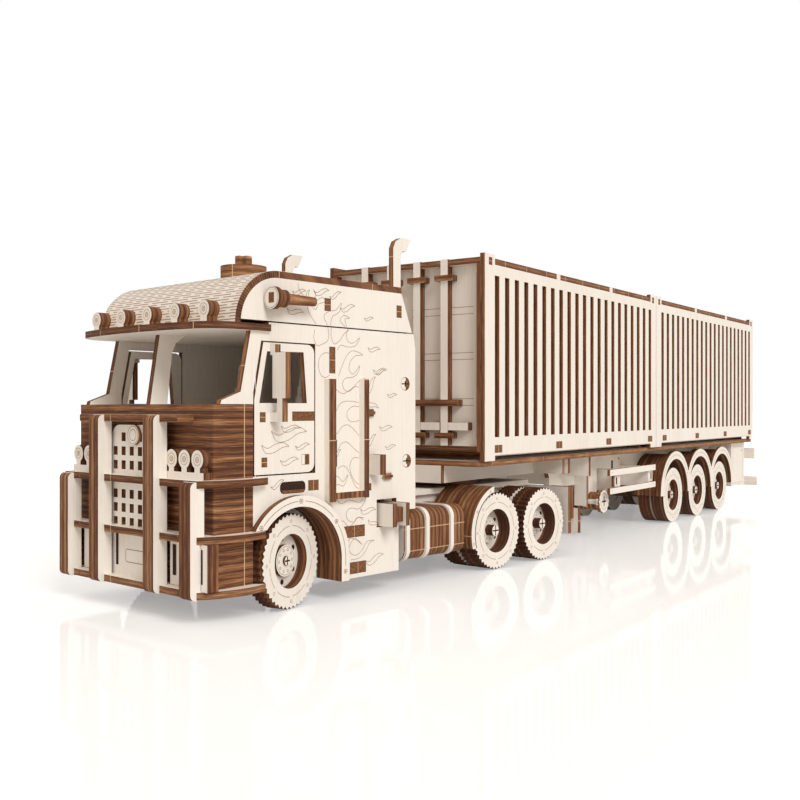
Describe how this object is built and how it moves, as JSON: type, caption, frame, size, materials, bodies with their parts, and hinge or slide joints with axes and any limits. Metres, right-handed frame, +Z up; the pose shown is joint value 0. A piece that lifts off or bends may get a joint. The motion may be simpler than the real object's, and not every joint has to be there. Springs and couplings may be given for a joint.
{
  "type": "model semi truck",
  "caption": "Plywood model kit of a cab-over road tractor with a pivoting semi-trailer that carries slotted containers.",
  "frame": {"origin": "centre of the whole outline, on the floor the wheels stand on", "axes": "-Y forward out of the cab's grille, +X to the tractor's left side, +Z up"},
  "size_m": [0.1732, 0.6886, 0.174],
  "materials": {
    "plywood": "matte",
    "scorched_plywood": "matte"
  },
  "bodies": {
    "tractor": {"tractor_frame": "plywood", "fifth_wheel": "plywood", "front_axle_beam": "plywood", "cab_floor": "plywood", "cab_front": "scorched_plywood", "cab_side_left": "plywood", "cab_side_right": "plywood", "cab_back": "plywood", "windscreen_post": "plywood", "visor": "plywood", "marker_lamps": "scorched_plywood", "roof_skin": "scorched_plywood", "roof_sides": "plywood", "beacon": "plywood", "exhaust_stacks": "plywood", "air_horns": "plywood", "bull_bar": "scorched_plywood", "grille": "plywood", "headlamps": "scorched_plywood", "front_fenders": "scorched_plywood", "side_fins": "scorched_plywood", "cab_steps": "scorched_plywood", "fuel_tanks": "scorched_plywood", "rear_fenders": "scorched_plywood", "tail_panels": "plywood", "seats": "plywood", "dashboard": "plywood", "steering_wheel": "plywood"},
    "trailer": {"trailer_frame": "plywood", "kingpin": "plywood", "trailer_deck": "plywood", "landing_gear": "scorched_plywood", "trailer_side_guards": "scorched_plywood", "trailer_fenders": "scorched_plywood", "trailer_tail_boxes": "plywood", "rear_bumper": "plywood", "container_front_sides": "plywood", "container_front_roof": "plywood", "container_front_floor": "plywood", "container_front_end_wall": "plywood", "container_rear_sides": "plywood", "container_rear_roof": "plywood", "container_rear_floor": "plywood", "container_rear_end_wall": "plywood", "container_front_doors": "plywood"},
    "steering_knuckle_left": {"steering_knuckle_left": "plywood"},
    "front_wheel_left": {"front_wheel_left": "scorched_plywood"},
    "steering_knuckle_right": {"steering_knuckle_right": "plywood"},
    "front_wheel_right": {"front_wheel_right": "scorched_plywood"},
    "drive_axle_1": {"drive_axle_1": "scorched_plywood"},
    "drive_axle_2": {"drive_axle_2": "scorched_plywood"},
    "cab_door_left": {"cab_door_left": "plywood"},
    "cab_door_right": {"cab_door_right": "plywood"},
    "trailer_axle_1": {"trailer_axle_1": "scorched_plywood"},
    "trailer_axle_2": {"trailer_axle_2": "scorched_plywood"},
    "trailer_axle_3": {"trailer_axle_3": "scorched_plywood"},
    "container_door_left": {"container_door_left": "plywood"},
    "container_door_right": {"container_door_right": "plywood"}
  },
  "joints": [
    {"name": "trailer_pivot", "type": "hinge", "parent": "tractor", "child": "trailer", "pos_m": [0.0252, -0.12588, 0.0473], "axis": [0, 0, 1], "range_deg": [-82.1, 67.9]},
    {"name": "steer_left", "type": "hinge", "parent": "tractor", "child": "steering_knuckle_left", "pos_m": [0.0622, -0.29178, 0.021], "axis": [0, 0, 1], "range_deg": [-37.6, 12.4]},
    {"name": "front_roll_left", "type": "hinge", "parent": "steering_knuckle_left", "child": "front_wheel_left", "pos_m": [0.06952, -0.29014, 0.021], "axis": [0.9759, 0.2181, 0], "continuous": true},
    {"name": "cab_door_left_hinge", "type": "hinge", "parent": "tractor", "child": "cab_door_left", "pos_m": [0.0758, -0.31138, 0.088], "axis": [0, 0, -1], "range_deg": [0, 60]},
    {"name": "container_door_left_hinge", "type": "hinge", "parent": "trailer", "child": "container_door_left", "pos_m": [0.01398, 0.33275, 0.115], "axis": [0, 0, -1], "range_deg": [0, 95]},
    {"name": "steer_right", "type": "hinge", "parent": "tractor", "child": "steering_knuckle_right", "pos_m": [-0.0118, -0.29178, 0.021], "axis": [0, 0, 1], "range_deg": [-37.6, 12.4]},
    {"name": "front_roll_right", "type": "hinge", "parent": "steering_knuckle_right", "child": "front_wheel_right", "pos_m": [-0.01912, -0.29341, 0.021], "axis": [0.9759, 0.2181, 0], "continuous": true},
    {"name": "cab_door_right_hinge", "type": "hinge", "parent": "tractor", "child": "cab_door_right", "pos_m": [-0.0254, -0.31138, 0.088], "axis": [0, 0, 1], "range_deg": [0, 60]},
    {"name": "container_door_right_hinge", "type": "hinge", "parent": "trailer", "child": "container_door_right", "pos_m": [-0.07642, 0.32149, 0.115], "axis": [0, 0, 1], "range_deg": [0, 95]},
    {"name": "drive_roll_1", "type": "hinge", "parent": "tractor", "child": "drive_axle_1", "pos_m": [0.0252, -0.13948, 0.021], "axis": [1, 0, 0], "continuous": true},
    {"name": "drive_roll_2", "type": "hinge", "parent": "tractor", "child": "drive_axle_2", "pos_m": [0.0252, -0.09388, 0.021], "axis": [1, 0, 0], "continuous": true},
    {"name": "trailer_roll_1", "type": "hinge", "parent": "trailer", "child": "trailer_axle_1", "pos_m": [-0.00706, 0.13312, 0.021], "axis": [0.9923, 0.1236, 0], "continuous": true},
    {"name": "trailer_roll_2", "type": "hinge", "parent": "trailer", "child": "trailer_axle_2", "pos_m": [-0.01418, 0.19028, 0.021], "axis": [0.9923, 0.1236, 0], "continuous": true},
    {"name": "trailer_roll_3", "type": "hinge", "parent": "trailer", "child": "trailer_axle_3", "pos_m": [-0.0213, 0.24744, 0.021], "axis": [0.9923, 0.1236, 0], "continuous": true}
  ],
  "couplings": [
    {"joint": "steer_right", "follows": "steer_left", "ratio": 1}
  ]
}
